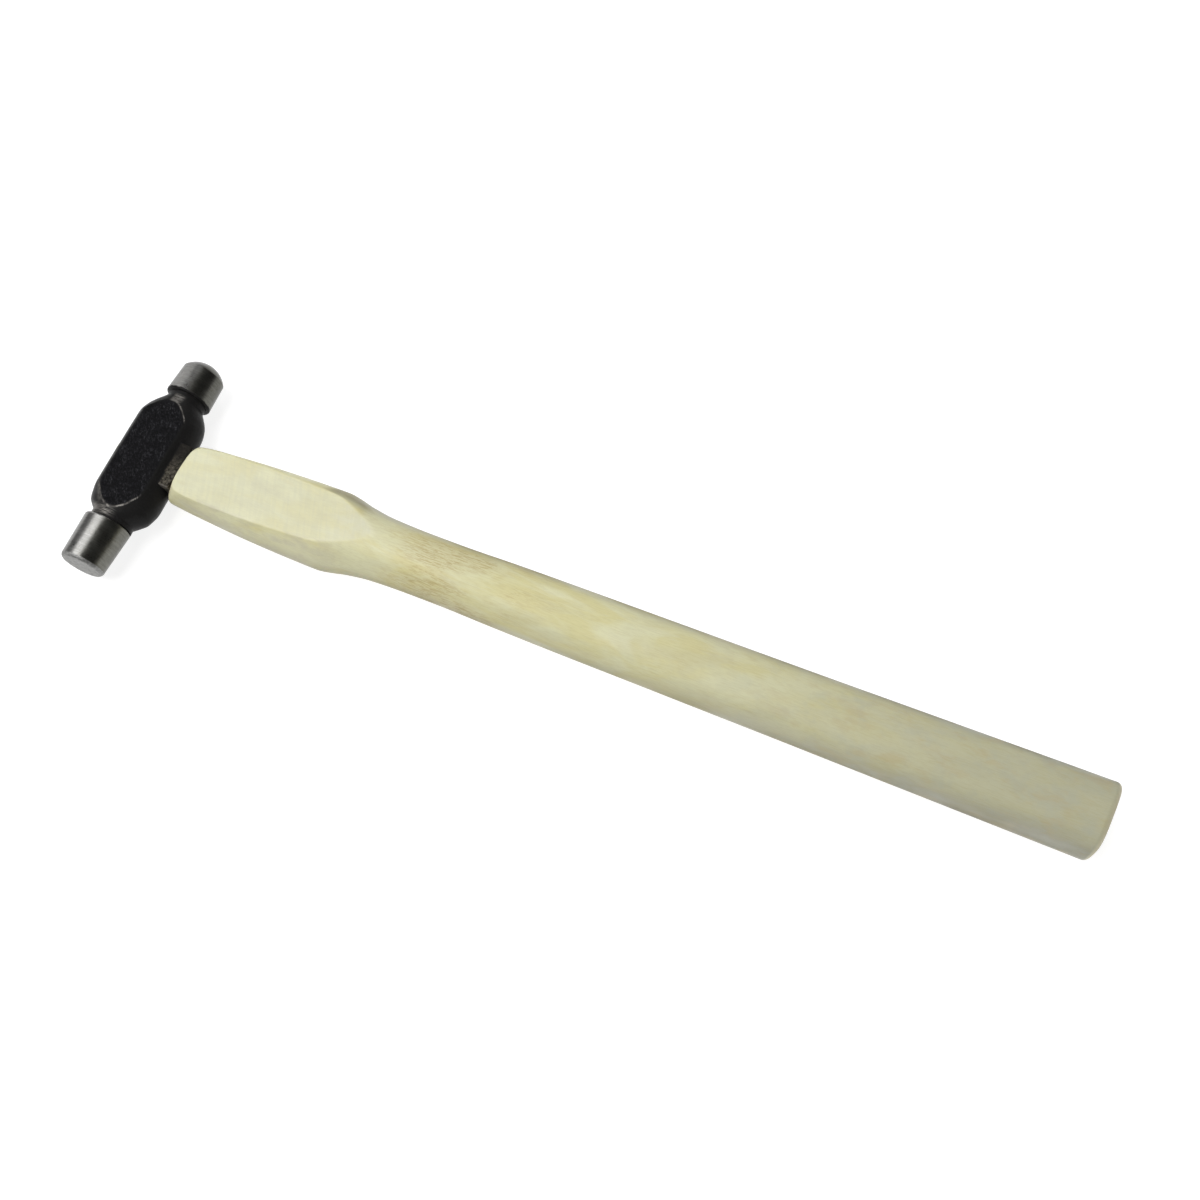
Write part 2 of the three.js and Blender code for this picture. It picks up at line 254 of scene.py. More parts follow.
def seat_radius(cos, sin, y):
    """Distance from the head axis to the seat block; far inside the barrel where there is none."""
    taper = (SEAT_ROOT - SEAT_TIP) / (SEAT_X - SEAT_ROOT_X)
    end = SEAT_X / np.maximum(cos, TINY)
    slant = np.abs(sin) + taper * np.maximum(cos, 0)
    side = (SEAT_ROOT + taper * SEAT_ROOT_X) / np.maximum(slant, TINY)
    block = soft_min(end, side, SEAT_CORNER)
    beyond = ease(SEAT_HALF_LENGTH - 0.1, SEAT_HALF_LENGTH + 0.35, np.abs(y))
    return np.where(cos > 0.05, block - SEAT_END_DROP * beyond, 0)


def cheek_edge_softness(y):
    """Rounding of the cheek's border: broad along the sides, crisp at the two ends."""
    crisper = ease(*CHEEK_ENDS, np.abs(y))
    return CHEEK_SIDE_ROUND - (CHEEK_SIDE_ROUND - CHEEK_END_ROUND) * crisper


def body_radius(cos, sin, y):
    """Distance from the head axis to the forged middle of the head."""
    cut = soft_min(barrel_radius(cos, sin, y), cheek_radius(sin), cheek_edge_softness(y))
    return soft_max(cut, seat_radius(cos, sin, y), BARREL_CORNER)


def spindle_profile():
    """Turned outline of the head from the middle of the face to the top of the ball: (r, y)."""
    points = [(r, -FACE_Y) for r in np.linspace(0, FACE_FLAT_RADIUS, 9)]
    for t in np.linspace(0, 1, 11)[1:]:
        r = (1 - t) ** 2 * FACE_FLAT_RADIUS + 2 * t * (1 - t) * FACE_BULGE[0] + t * t * FACE_RADIUS
        y = (1 - t) ** 2 * FACE_Y + 2 * t * (1 - t) * FACE_BULGE[1] + t * t * FACE_EDGE_Y
        points.append((r, -y))
    points.append((FACE_RADIUS + 0.01, -FACE_EDGE_Y + 0.06))

    def cylinder(y):
        """Radius of the slightly conical ground cylinder at a distance y along the head."""
        if y < 0:
            return np.interp(-y, [FACE_ROOT_Y, FACE_EDGE_Y], [ROOT_RADIUS, FACE_RADIUS])
        return np.interp(y, [BALL_ROOT_Y, BALL_EDGE_Y], [ROOT_RADIUS, BALL_RADIUS])

    for y in np.linspace(-FACE_EDGE_Y + 0.3, -FACE_ROOT_Y - ROOT_ROUND, 40):
        points.append((cylinder(y), y))
    for angle in np.linspace(0, math.pi / 2, 7)[1:]:
        drop = ROOT_ROUND * (1 - math.cos(angle))
        points.append((ROOT_RADIUS - drop, -FACE_ROOT_Y - ROOT_ROUND * (1 - math.sin(angle))))
    step_down = np.linspace(ROOT_RADIUS - ROOT_ROUND, NECK_RADIUS, 5)
    points += [(r, -FACE_ROOT_Y + 0.03) for r in step_down]
    middle = np.concatenate([
        np.arange(-FACE_ROOT_Y + 0.12, -7.8, 0.16), np.arange(-7.8, -6.8, 0.07),
        np.arange(-6.8, 6.8, 0.2), np.arange(6.8, 7.8, 0.07),
        np.arange(7.8, NECK_Y + 0.3, 0.16),
    ])
    points += [(NECK_RADIUS, y) for y in middle]
    root_edge = BALL_ROOT_Y - ROOT_ROUND
    points += [(NECK_RADIUS, y) for y in np.linspace(NECK_Y + 0.36, root_edge - 0.25, 6)]
    step_up = np.linspace(NECK_RADIUS + 0.1, ROOT_RADIUS - ROOT_ROUND, 5)
    points += [(r, root_edge - 0.03) for r in step_up]
    for angle in np.linspace(0, math.pi / 2, 7)[1:]:
        radius = ROOT_RADIUS - ROOT_ROUND + ROOT_ROUND * math.sin(angle)
        points.append((radius, root_edge + ROOT_ROUND * (1 - math.cos(angle))))
    for y in np.linspace(BALL_ROOT_Y + 0.3, BALL_EDGE_Y - 0.08, 28):
        points.append((cylinder(y), y))
    sphere = (BALL_RADIUS ** 2 + BALL_DOME ** 2) / (2 * BALL_DOME)
    centre = BALL_EDGE_Y + BALL_DOME - sphere
    edge = math.asin(BALL_RADIUS / sphere)
    for angle in np.linspace(edge, 0, 26):
        points.append((sphere * math.sin(angle), centre + sphere * math.cos(angle)))
    return np.array(points)


def handle_radius(cos, sin, x, inset=0.0):
    """Distance from the handle axis to the handle's skin, with its two sanded flats."""
    half_y = handle_plan(x) - inset
    half_z = handle_side(x) - inset
    power = handle_power(x)
    oval = (np.abs(cos / half_y) ** power + np.abs(sin / half_z) ** power) ** (-1 / power)
    return soft_min(oval, flat_radius(sin, x), FLAT_EDGE)


def flat_radius(sin, x):
    """Distance from the handle axis to the sanded flats; none beyond their end."""
    half = FLAT_AT_SHOULDER + FLAT_TAPER * (x - SEAT_X) + 8 * ease(FLAT_END_X, FLAT_END_X + 2, x)
    return half / np.maximum(np.abs(sin), TINY)


def eye_half_sizes(x):
    """Half-sizes of the oval eye along the head and across the cheeks."""
    flare = np.maximum(0, (EYE_WAIST_X - x) / (EYE_WAIST_X - CROWN_X)) ** EYE_FLARE_POWER
    return EYE_LENGTH + EYE_FLARE_LENGTH * flare, EYE_WIDTH + EYE_FLARE_WIDTH * flare


# ---- Meshes --------------------------------------------------------------------------------

def new_object(name, vertices, faces):
    """Mesh object in the hammer's frame, with its faces turned outwards."""
    mesh = bpy.data.meshes.new(name)
    mesh.from_pydata((np.asarray(vertices) * MM).tolist(), [], faces)
    shape = bmesh.new()
    shape.from_mesh(mesh)
    bmesh.ops.recalc_face_normals(shape, faces=shape.faces)
    shape.to_mesh(mesh)
    shape.free()
    obj = bpy.data.objects.new(name, mesh)
    bpy.context.scene.collection.objects.link(obj)
    obj.matrix_world = TO_WORLD
    return obj


def skin(name, rings):
    """Closed skin over rings of points; the first and last ring close onto their middles."""
    rings = np.asarray(rings)
    count, around = rings.shape[:2]
    ends = np.array([rings[0].mean(0), rings[-1].mean(0)])
    vertices = np.concatenate([rings.reshape(-1, 3), ends])
    faces = []
    for i in range(count - 1):
        for j in range(around):
            k = (j + 1) % around
            here, there = i * around, (i + 1) * around
            faces.append((here + j, here + k, there + k, there + j))
    first, last = count * around, count * around + 1
    for j in range(around):
        k = (j + 1) % around
        faces.append((first, k, j))
        faces.append((last, (count - 1) * around + j, (count - 1) * around + k))
    return new_object(name, vertices, faces)


def apply_modifiers(obj):
    """Replace a mesh by what its modifiers make of it."""
    bpy.context.view_layer.update()
    evaluated = obj.evaluated_get(bpy.context.evaluated_depsgraph_get())
    mesh = bpy.data.meshes.new_from_object(evaluated)
    obj.modifiers.clear()
    obj.data = mesh


def combine(obj, tool, operation):
    """Cut tool out of obj, or join or intersect them, and drop the tool."""
    modifier = obj.modifiers.new(operation, "BOOLEAN")
    modifier.operation = operation
    modifier.solver = "MANIFOLD"
    modifier.object = tool
    apply_modifiers(obj)
    bpy.data.objects.remove(tool)


def local_points(obj):
    """Vertices of a mesh in its own frame, in millimetres."""
    flat = np.empty(len(obj.data.vertices) * 3, np.float32)
    obj.data.vertices.foreach_get("co", flat)
    return flat.reshape(-1, 3).astype(float) / MM


def store_points(obj, points):
    obj.data.vertices.foreach_set("co", (points * MM).astype(np.float32).ravel())
    obj.data.update()


def store_mask(obj, name, values):
    """Per-vertex number that the material reads."""
    attribute = obj.data.attributes.new(name, "FLOAT", "POINT")
    attribute.data.foreach_set("value", np.asarray(values, np.float32))


def weld_slivers(obj):
    """Drop the edges of almost no length that the cuts leave."""
    shape = bmesh.new()
    shape.from_mesh(obj.data)
    bmesh.ops.dissolve_degenerate(shape, dist=WELD_DISTANCE * MM, edges=shape.edges)
    shape.to_mesh(obj.data)
    shape.free()


def finish_mesh(obj, sharp_degrees=SHARP_DEGREES):
    """Mesh moved into the part's frame, smooth, with the real edges kept sharp."""
    weld_slivers(obj)
    obj.data.transform(TO_WORLD)
    obj.matrix_world = Matrix.Identity(4)
    obj.data.polygons.foreach_set("use_smooth", [True] * len(obj.data.polygons))
    obj.data.set_sharp_from_angle(angle=math.radians(sharp_degrees))


def circle(count):
    """Cosines and sines of count even steps round a circle."""
    angle = np.arange(count) * 2 * math.pi / count
    return np.cos(angle), np.sin(angle)


def lumps(points, scale, seed):
    """Smooth noise of about -1 to 1 at each point; scale is the size of its lumps in mm."""
    shift = Vector((seed * 17.3, seed * 5.1, seed * 9.7))
    return np.array([noise.noise(Vector(p) / scale + shift) for p in points])


def eye_bar(name, start, end, shrink, around=96, mouth=0.0):
    """Oval bar through the eye, smaller by shrink; mouth widens its crown end as a chamfer."""
    cos, sin = circle(around)
    mouth_places = np.linspace(start, CROWN_X + 0.6, 8)
    places = np.concatenate([mouth_places, np.linspace(CROWN_X + 1, end, 30)])
    rings = []
    for x in places:
        half_y, half_z = eye_half_sizes(x)
        extra = mouth * ease(CROWN_X + 0.9, CROWN_X - 0.6, x) - shrink
        ring = [np.full(around, x), (half_y + extra) * cos, (half_z + extra) * sin]
        rings.append(np.stack(ring, 1))
    return skin(name, rings)


def wedge_prism(name, sizes, half_width, across_handle, clearance):
    """Thin wedge that enters the tenon from its crown end."""
    start = CROWN_X - sizes.get("proud", KERF_OVERSHOOT)
    end = CROWN_X + sizes["depth"] + clearance
    top, tip = sizes["top"] + clearance, sizes["tip"] + clearance
    width = half_width + clearance
    corners = []
    for x, thick in ((start, top), (end, tip)):
        for u, v in ((-1, -1), (1, -1), (1, 1), (-1, 1)):
            flat, wide = u * thick, v * width
            corners.append((x, flat, wide) if across_handle else (x, wide, flat))
    sides = [(0, 1, 5, 4), (1, 2, 6, 5), (2, 3, 7, 6), (3, 0, 4, 7)]
    return new_object(name, corners, [(0, 3, 2, 1), (4, 5, 6, 7)] + sides)


def steel_wedge_slit(name):
    """Cutting tool for the slit that the steel wedge is driven into."""
    sizes = dict(STEEL_WEDGE, proud=KERF_OVERSHOOT)
    return wedge_prism(name, sizes, STEEL_WEDGE["half_width"], True, SEAM)


# ---- Pieces --------------------------------------------------------------------------------

def build_head():
    """Forged head: turned ends, oval barrel with flat cheeks, seat block and the eye."""
    cos, sin = circle(HEAD_AROUND)
    rings = []
    for r, y in spindle_profile():
        radius = np.full(HEAD_AROUND, r)
        if -FACE_ROOT_Y <= y <= BALL_ROOT_Y - ROOT_ROUND:
            body = body_radius(cos, sin, np.full(HEAD_AROUND, y))
            radius = soft_max(radius, body, NECK_CORNER)
        rings.append(np.stack([radius * cos, np.full(HEAD_AROUND, y), radius * sin], 1))
    head = skin("head", rings[1:])
    roughen_forging(head)
    eye = eye_bar("eye_cut", CROWN_X - 3, SEAT_X + 3, 0, mouth=EYE_CHAMFER)
    combine(head, eye, "DIFFERENCE")
    mark_head(head)
    finish_mesh(head, HEAD_SHARP_DEGREES)
    return head


def mark_head(head):
    """Masks for the head's material: cheeks, seat block, and where the black skin is worn."""
    x, y, z = local_points(head).T
    radius = np.maximum(np.hypot(x, z), TINY)
    cos, sin = x / radius, z / radius
    barrel, cheek = barrel_radius(cos, sin, y), cheek_radius(sin)
    seat = seat_radius(cos, sin, y)
    forged = (np.abs(y) < FACE_ROOT_Y).astype(float)
    above = barrel - cheek          # positive on the cheek, negative on the slopes round it
    at_end = ease(12.3, 13.8, np.abs(y))
    thin = np.exp(-(above / EDGE_WEAR) ** 2) * at_end
    thin *= np.where(y > 0, ease(-1.5, 2.5, x), 0.35 + 0.65 * ease(-1.0, 1.5, x))
    seat_end = np.exp(-((y + SEAT_HALF_LENGTH) / SEAT_END_WEAR) ** 2) * (x > SEAT_ROOT_X + 3.6)
    seat_end *= (np.abs(z) > 3.8) & (seat > barrel - 0.05)
    soft = np.exp(-(np.minimum(above, 0) / CRESCENT_WEAR) ** 2) * (above < EDGE_WEAR) * at_end
    soft *= (y < 0) * ease(-1.5, -3.5, x)
    store_mask(head, "edge", forged * np.maximum(thin, seat_end))
    store_mask(head, "crescent", forged * soft)
    store_mask(head, "cheek", forged * ease(-0.3, 0.3, above) * (seat < barrel))
    store_mask(head, "seat", ((seat > barrel + 0.05) & (x > SEAT_ROOT_X + 2)).astype(float))


def roughen_forging(head):
    """Shallow hollows of the forged skin; the seat block is rougher than the rest."""
    points = local_points(head)
    x, y, z = points.T
    radius = np.maximum(np.hypot(x, z), TINY)
    seat = seat_radius(x / radius, z / radius, y) > barrel_radius(x / radius, z / radius, y)
    forged = ease(FACE_ROOT_Y, FACE_ROOT_Y - 1.2, np.abs(y))
    broad_depth, broad_size, broad_seed = FORGED_BROAD
    fine_depth, fine_size, fine_seed = FORGED_FINE
    broad = lumps(points, broad_size, broad_seed)
    fine = lumps(points, fine_size, fine_seed)
    depth = forged * (broad_depth * broad + fine_depth * fine - FORGED_SINK)
    depth = np.minimum(depth + np.where(seat, SEAT_ROUGHNESS * fine, 0), 0.0)
    points[:, 0] += depth * x / radius
    points[:, 2] += depth * z / radius
    store_points(head, points)


def build_handle():
    """Shaped handle with its tenon, split by the kerf that the wedges fill."""
    cos, sin = circle(HANDLE_AROUND)
    one = np.ones(HANDLE_AROUND)
    places = np.concatenate([
        SHOULDER_X + np.array([0.0, 0.1, 0.25, 0.45, 0.7]),
        np.arange(SHOULDER_X + 1, FLAT_END_X, 0.45),
        np.arange(FLAT_END_X, BUTT_X - BUTT_ROUND, 0.9),
    ])
    sections = [(SHOULDER_X, SHOULDER_EDGE, k) for k in (0.2, 0.4, 0.6, 0.8, 0.95)]
    for x in places:
        rounding = 1 - ease(0, SHOULDER_EDGE_LENGTH, x - SHOULDER_X)
        sections.append((x, SHOULDER_EDGE * rounding, 1))
    for angle in np.linspace(0, math.pi / 2, 9):
        x = BUTT_X - BUTT_ROUND * (1 - math.sin(angle))
        sections.append((x, BUTT_ROUND * (1 - math.cos(angle)), 1))
    sections += [(BUTT_X, BUTT_ROUND, k) for k in (0.97, 0.85, 0.7, 0.5, 0.3, 0.15)]
    rings = []
    for x, inset, share in sections:
        radius = share * handle_radius(cos, sin, x * one, inset)
        y, z = radius * cos, radius * sin
        lean = np.clip((x - BUTT_X + BUTT_SLOPE_LENGTH) / (BUTT_SLOPE_LENGTH - BUTT_ROUND), 0, 1)
        rings.append(np.stack([x + lean * (BUTT_SLOPE_Y * y + BUTT_SLOPE_Z * z), y, z], 1))
    handle = skin("handle_wood", rings)
    soften_carving(handle)
    combine(handle, eye_bar("tenon", CROWN_X, SHOULDER_X + 3, SEAM), "UNION")
    kerf = wedge_prism("kerf", WOOD_WEDGE, 2 * EYE_LENGTH, False, SEAM)
    combine(handle, kerf, "DIFFERENCE")
    combine(handle, steel_wedge_slit("slit"), "DIFFERENCE")
    x, y, z = local_points(handle).T
    radius = np.maximum(np.hypot(y, z), TINY)
    oval = handle_radius(y / radius, z / radius, x)
    flat = flat_radius(z / radius, x)
    sanded = ease(-0.02, 0.05, oval - flat) * (x > SHOULDER_X + 0.1)
    store_mask(handle, "flat", sanded)
    crease = np.exp(-((oval - flat) / CREASE) ** 2) * (radius > 0.9 * flat)
    store_mask(handle, "crease", crease * (x > SHOULDER_X + 0.4))
    finish_mesh(handle)
    return handle


def soften_carving(handle):
    """Very slight unevenness of hand-finished wood."""
    points = local_points(handle)
    x, y, z = points.T
    radius = np.maximum(np.hypot(y, z), TINY)
    deepest, size, seed = CARVED
    stretched = points * np.array([CARVED_STRETCH, 1, 1])
    depth = deepest * lumps(stretched, size, seed) - CARVED_SINK
    depth *= ease(SHOULDER_X, SHOULDER_X + 3, x) * ease(BUTT_X, BUTT_X - 3, x)
    points[:, 1] += depth * y / radius
    points[:, 2] += depth * z / radius
    store_points(handle, points)


def bevel_edges(obj, width):
    """Small worn bevel on every edge."""
    modifier = obj.modifiers.new("bevel", "BEVEL")
    modifier.width = width * MM
    modifier.segments = 2
    modifier.limit_method = "ANGLE"
    modifier.angle_limit = math.radians(40)
    apply_modifiers(obj)


def build_wood_wedge():
    wedge = wedge_prism("wedge_of_wood", WOOD_WEDGE, 2 * EYE_LENGTH, False, 0)
    combine(wedge, eye_bar("eye_space", CROWN_X - 0.05, SEAT_X, SEAM), "INTERSECT")
    combine(wedge, steel_wedge_slit("wedge_slit"), "DIFFERENCE")
    bevel_edges(wedge, WOOD_WEDGE_BEVEL)
    finish_mesh(wedge)
    return wedge


def build_steel_wedge():
    wedge = wedge_prism("wedge_of_steel", STEEL_WEDGE, STEEL_WEDGE["half_width"], True, 0)
    bevel_edges(wedge, STEEL_WEDGE_BEVEL)
    finish_mesh(wedge)
    return wedge


# ---- Material building blocks --------------------------------------------------------------

class Nodes:
    """Short names for building one material's node tree."""

    def __init__(self, name):
        self.material = bpy.data.materials.new(name)
        self.material.use_nodes = True
        self.tree = self.material.node_tree
        self.shader = self.tree.nodes["Principled BSDF"]
        hammer_frame = self.add("ShaderNodeMapping", vector_type="TEXTURE")
        self.link(self.add("ShaderNodeTexCoord").outputs["Object"], hammer_frame.inputs["Vector"])
        hammer_frame.inputs["Location"].default_value = TO_WORLD.translation
        hammer_frame.inputs["Rotation"].default_value = TO_WORLD.to_euler()
        hammer_frame.inputs["Scale"].default_value = (MM, MM, MM)
        self.mm = hammer_frame.outputs["Vector"]

    def add(self, kind, **settings):
        node = self.tree.nodes.new(kind)
        for key, value in settings.items():
            setattr(node, key, value)
        return node

    def link(self, output, socket):
        self.tree.links.new(output, socket)

    def put(self, value, socket):
        """Link an output, or set a plain value."""
        if isinstance(value, bpy.types.NodeSocket):
            self.link(value, socket)
        else:
            socket.default_value = value

    def math(self, operation, a, b=0.0, clamp=False):
        node = self.add("ShaderNodeMath", operation=operation, use_clamp=clamp)
        self.put(a, node.inputs[0])
        self.put(b, node.inputs[1])
        return node.outputs[0]

    def times(self, product, *factors):
        """Product of any number of values."""
        for factor in factors:
            product = self.math("MULTIPLY", product, factor)
        return product

    def axis(self, name):
        """One coordinate of the hammer's frame, in millimetres."""
        node = self.add("ShaderNodeSeparateXYZ")
        self.link(self.mm, node.inputs[0])
        return node.outputs[name]

    def step(self, value, low, high, bottom=0.0, top=1.0):
        """Smooth ramp of value from low..high to bottom..top."""
        node = self.add("ShaderNodeMapRange", interpolation_type="SMOOTHSTEP")
        self.put(value, node.inputs["Value"])
        limits = {"From Min": low, "From Max": high, "To Min": bottom, "To Max": top}
        for key, number in limits.items():
            node.inputs[key].default_value = number
        return node.outputs["Result"]

    def band(self, value, start, full, fade, end):
        """One between full and fade, smoothly down to zero at start and end."""
        return self.times(self.step(value, start, full), self.step(value, fade, end, 1, 0))

    def stretched(self, x, y, z):
        """The hammer's frame stretched along its own axes."""
        node = self.add("ShaderNodeVectorMath", operation="MULTIPLY")
        self.link(self.mm, node.inputs[0])
        node.inputs[1].default_value = (x, y, z)
        return node.outputs[0]

    def turned(self, degrees, x, y, z):
        """The hammer's frame turned about Z, then stretched."""
        node = self.add("ShaderNodeMapping", vector_type="TEXTURE")
        self.link(self.mm, node.inputs["Vector"])
        node.inputs["Rotation"].default_value = (0, 0, math.radians(degrees))
        node.inputs["Scale"].default_value = (1 / x, 1 / y, 1 / z)
        return node.outputs[0]

    def noise(self, scale, detail=3.0, roughness=0.5, at=None, distortion=0.0):
        """Noise whose lumps are about 1/scale millimetres across."""
        node = self.add("ShaderNodeTexNoise")
        self.link(at or self.mm, node.inputs["Vector"])
        node.inputs["Scale"].default_value = scale
        node.inputs["Detail"].default_value = detail
        node.inputs["Roughness"].default_value = roughness
        node.inputs["Distortion"].default_value = distortion
        return node.outputs["Fac"]

    def mask(self, name):
        return self.add("ShaderNodeAttribute", attribute_name=name).outputs["Fac"]

    def mix(self, factor, a, b):
        """Colour mix."""
        node = self.add("ShaderNodeMix", data_type="RGBA")
        self.put(factor, node.inputs[0])
        self.put(a if not isinstance(a, tuple) else (*a, 1), node.inputs[6])
        self.put(b if not isinstance(b, tuple) else (*b, 1), node.inputs[7])
        return node.outputs[2]

    def tint(self, factor, color, shade):
        """Colour multiplied by a shade."""
        node = self.add("ShaderNodeMix", data_type="RGBA", blend_type="MULTIPLY")
        self.put(factor, node.inputs[0])
        self.put(color, node.inputs[6])
        self.put((*shade, 1), node.inputs[7])
        return node.outputs[2]

    def blend(self, factor, a, b):
        """Number mix."""
        node = self.add("ShaderNodeMix", data_type="FLOAT")
        self.put(factor, node.inputs[0])
        self.put(a, node.inputs[2])
        self.put(b, node.inputs[3])
        return node.outputs[0]

    def bump(self, height, distance, strength=1.0, normal=None):
        """Bump from a height of 0 to 1; distance is its full depth in millimetres."""
        node = self.add("ShaderNodeBump")
        node.inputs["Strength"].default_value = strength
        node.inputs["Distance"].default_value = distance * MM
        self.link(height, node.inputs["Height"])
        if normal is not None:
            self.link(normal, node.inputs["Normal"])
        return node.outputs["Normal"]


def set_material(obj, material):
    obj.data.materials.clear()
    obj.data.materials.append(material)


# ---- Materials -----------------------------------------------------------------------------

def bare_steel(n, face_disc, ball_end):
    """Colour, roughness and height of the ground ends: marks round the axis, faint blotches.

    The side towards the handle is darkened by painted shade.
    """
    rings = n.noise(1.0, 4, 0.7, at=n.stretched(0.25, 3.2, 0.25))
    blotches = n.noise(0.5, 4, 0.6)
    color = n.mix(blotches, (0.200, 0.199, 0.193), (0.285, 0.283, 0.274))
    color = n.mix(n.times(ball_end, 0.7), color, (0.160, 0.158, 0.153))
    stains = n.times(n.step(n.noise(1.4, 4, 0.7), 0.52, 0.72), n.blend(ball_end, 0.40, 0.60))
    color = n.mix(stains, color, (0.115, 0.102, 0.080))
    color = n.tint(n.step(rings, 0.35, 0.65, 0.0, 0.75), color, (0.68, 0.68, 0.67))
    # painted shade: the ground steel is darkened on the side towards the handle
    painted_shade_towards_handle = n.step(n.axis("X"), 0.5, 3.0)
    color = n.tint(painted_shade_towards_handle, color, (0.68, 0.68, 0.625))
    grinding = n.noise(1.1, 5, 0.72)
    disc_color = n.mix(n.step(grinding, 0.35, 0.65), (0.22, 0.22, 0.215), (0.35, 0.35, 0.34))
    color = n.mix(face_disc, color, disc_color)
    dullness = n.math("ADD", n.times(blotches, 0.6), n.times(rings, 0.4))
    polish = n.step(dullness, 0.35, 0.65, 0.27, 0.36)
    roughness = n.blend(face_disc, polish, 0.58)
    return color, roughness, n.blend(face_disc, rings, grinding)


def black_skin(n, cheek, seat):
    """Colour, roughness and height of the blackened forging; the seat block shows brown-grey,
    darkened towards the ball by painted shadow.
    """
    grit = n.noise(2.6, 5, 0.8)
    color = n.mix(n.step(grit, 0.42, 0.64), (0.0015, 0.0015, 0.0019), (0.0065, 0.0065, 0.0080))
    specks = n.step(n.noise(1.3, 5, 0.8, at=n.turned(35, 1.7, 0.8, 1.0)), 0.48, 0.70)
    clusters = n.step(n.noise(0.4, 2), 0.35, 0.62, 0.2, 1.0)
    specks = n.times(specks, clusters, n.blend(cheek, 0.25, 0.70))
    color = n.mix(specks, color, (0.060, 0.060, 0.067))
    off_cheek = n.blend(cheek, 0.55, 0.0)
    color = n.mix(off_cheek, color, (0.022, 0.0214, 0.0205))
    mottle = n.step(n.noise(1.3, 5, 0.75), 0.38, 0.66)
    seat_rust_and_painted_shade = n.mix(mottle, (0.016, 0.014, 0.011), (0.12, 0.108, 0.085))
    # painted shadow: the seat block darkens towards the ball, where the barrel shades it
    face_side = n.step(n.axis("Y"), -3.5, 4.5, 1.0, 0.12)
    seat_rust_and_painted_shade = n.mix(face_side, (0.012, 0.011, 0.010), seat_rust_and_painted_shade)
    color = n.mix(seat, color, seat_rust_and_painted_shade)
    slope_rough = n.step(n.noise(0.6, 3), 0.3, 0.7, 0.30, 0.42)
    roughness = n.blend(seat, n.blend(cheek, slope_rough, 0.6), 0.7)
    return color, roughness, n.times(grit, n.blend(cheek, 0.3, 1.0))


def neck_wear(n):
    """Where tools have rubbed the skin off between the cheek's ends and the ground ends."""
    x, y, z = n.axis("X"), n.axis("Y"), n.axis("Z")
    streaks = n.noise(1.0, 3, 0.55, at=n.stretched(0.35, 3.4, 0.35))
    at_face = n.times(
        n.band(y, -22.1, -21.3, -20.0, -18.4), n.step(x, 0.5, 4.0, 1, 0),
        n.step(z, 1.5, 4.5), n.step(streaks, 0.36, 0.60))
    at_ball = n.times(
        n.band(y, 17.6, 18.4, 20.2, 21.4), n.band(x, -1.6, -0.4, 0.8, 2.6),
        n.step(z, 4.0, 5.0), n.step(streaks, 0.34, 0.55))
    return n.math("MAXIMUM", n.times(at_face, 0.55), n.times(at_ball, 0.60))


def head_material():
    """Black forged skin, ground and polished ends, bright worn edges."""
    n = Nodes("hammer_steel")
    y = n.axis("Y")
    ragged = n.times(n.math("SUBTRACT", n.noise(0.9, 4), 0.5), 0.9)
    y_ragged = n.math("ADD", y, ragged)
    face_end = n.step(y_ragged, -FACE_ROOT_Y - 0.35, -FACE_ROOT_Y - 0.20, 1, 0)
    ball_end = n.step(y_ragged, BALL_ROOT_Y - 0.1, BALL_ROOT_Y + 0.05)
    face_disc = n.step(y, -FACE_EDGE_Y - 0.06, -FACE_EDGE_Y - 0.02, 1, 0)
    bare = n.math("MAXIMUM", face_end, ball_end)
    steel_color, steel_rough, steel_height = bare_steel(n, face_disc, ball_end)
    skin_color, skin_rough, skin_height = black_skin(n, n.mask("cheek"), n.mask("seat"))

    edge = n.times(n.mask("edge"), n.step(n.noise(0.55, 3, 0.6), 0.42, 0.62, 0.25, 1.0))
    rubbed = n.step(n.noise(1.2, 4, 0.6), 0.3, 0.6, 0.08, 0.42)
    crescent = n.times(n.mask("crescent"), rubbed)
    worn = n.math("MAXIMUM", n.math("MAXIMUM", edge, crescent), neck_wear(n), clamp=True)
    skin_color = n.mix(worn, skin_color, (0.27, 0.255, 0.235))
    skin_rough = n.blend(worn, skin_rough, 0.4)

    n.put(n.mix(bare, skin_color, steel_color), n.shader.inputs["Base Color"])
    n.put(n.blend(bare, skin_rough, steel_rough), n.shader.inputs["Roughness"])
    n.put(n.math("MAXIMUM", bare, worn), n.shader.inputs["Metallic"])
    n.shader.inputs["Specular IOR Level"].default_value = 0.06
    bumped = n.bump(n.times(skin_height, n.math("SUBTRACT", 1.0, bare)), 0.10)
    bumped = n.bump(n.times(steel_height, bare), 0.006, normal=bumped)
    n.link(bumped, n.shader.inputs["Normal"])
    return n.material


def wood_figure(n, x, y, flat):
    """Yellow and pale patches, greyer towards the butt and in the middle of the flats."""
    yellow, pale, grey = (0.650, 0.610, 0.320), (0.685, 0.672, 0.430), (0.590, 0.585, 0.415)
    broad = n.noise(1.0, 3, 0.6, at=n.stretched(0.045, 0.13, 0.13), distortion=0.8)
    color = n.mix(n.step(broad, 0.36, 0.62), yellow, pale)
    cloud = n.noise(1.0, 3, 0.6, at=n.stretched(0.05, 0.17, 0.17), distortion=0.5)
    cloud = n.step(cloud, 0.45, 0.65, 0, 0.35)
    greyed = n.math("ADD", n.step(x, 150, 275, 0.0, 0.7), cloud, clamp=True)
    color = n.mix(greyed, color, grey)
    across = n.step(n.math("ABSOLUTE", y), 4.2, 7.0, 1, 0)
    sanded_middle = n.times(flat, across, n.step(x, 52, 62, 1, 0.35))
    return n.mix(sanded_middle, color, (0.555, 0.560, 0.395))


